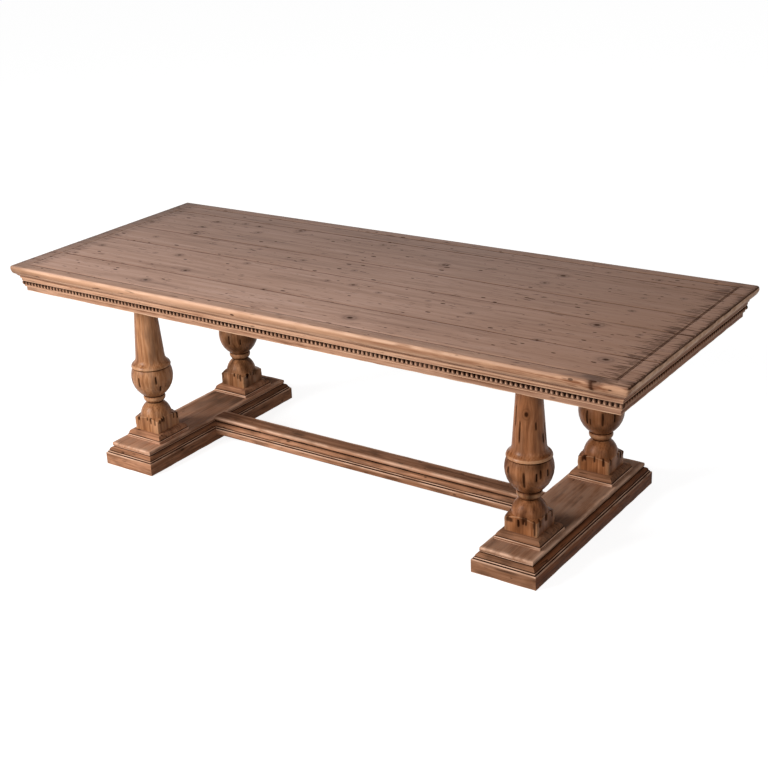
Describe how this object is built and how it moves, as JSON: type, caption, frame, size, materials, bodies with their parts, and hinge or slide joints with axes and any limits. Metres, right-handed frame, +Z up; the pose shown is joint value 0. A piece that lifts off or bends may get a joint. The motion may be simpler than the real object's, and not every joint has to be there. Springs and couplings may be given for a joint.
{
  "type": "refectory table",
  "caption": "Long plank-topped refectory table with a beaded apron, turned baluster legs on moulded trestle feet and a low stretcher.",
  "frame": {"origin": "on the floor under the middle of the table", "axes": "+X along the table's length to the right of the near long side, +Y to the far long side, +Z up"},
  "size_m": [2.5, 1, 0.77],
  "materials": {
    "pine_top": "waxed satin",
    "pine_edge": "waxed satin",
    "pine_legs": "waxed satin",
    "pine_base": "waxed satin",
    "pine_inner": "sawn, unfinished"
  },
  "bodies": {
    "root": {"apron_back": "pine_edge", "apron_front": "pine_edge", "apron_left": "pine_edge", "apron_right": "pine_edge", "bead_strip_back": "pine_edge", "bead_strip_front": "pine_edge", "bead_strip_left": "pine_edge", "bead_strip_right": "pine_edge", "bearer_left": "pine_inner", "bearer_right": "pine_inner", "corner_block_back_left": "pine_inner", "corner_block_back_right": "pine_inner", "corner_block_front_left": "pine_inner", "corner_block_front_right": "pine_inner", "cornice_back": "pine_edge", "cornice_front": "pine_edge", "cornice_left": "pine_edge", "cornice_right": "pine_edge", "cross_batten_1": "pine_inner", "cross_batten_2": "pine_inner", "cross_batten_3": "pine_inner", "foot_core_left": "pine_base", "foot_core_right": "pine_base", "foot_plate_left": "pine_base", "foot_plate_right": "pine_base", "foot_skirt_back_left": "pine_base", "foot_skirt_back_right": "pine_base", "foot_skirt_front_left": "pine_base", "foot_skirt_front_right": "pine_base", "foot_skirt_left_left": "pine_base", "foot_skirt_left_right": "pine_base", "foot_skirt_right_left": "pine_base", "foot_skirt_right_right": "pine_base", "leg_back_left": "pine_legs", "leg_back_right": "pine_legs", "leg_front_left": "pine_legs", "leg_front_right": "pine_legs", "leg_plinth_back_left": "pine_legs", "leg_plinth_back_right": "pine_legs", "leg_plinth_front_left": "pine_legs", "leg_plinth_front_right": "pine_legs", "leg_wedges": "pine_inner", "plank_1": "pine_top", "plank_2": "pine_top", "plank_3": "pine_top", "plank_4": "pine_top", "plank_5": "pine_top", "plank_buttons": "pine_inner", "stretcher": "pine_base", "stretcher_pegs": "pine_inner"}
  },
  "joints": []
}
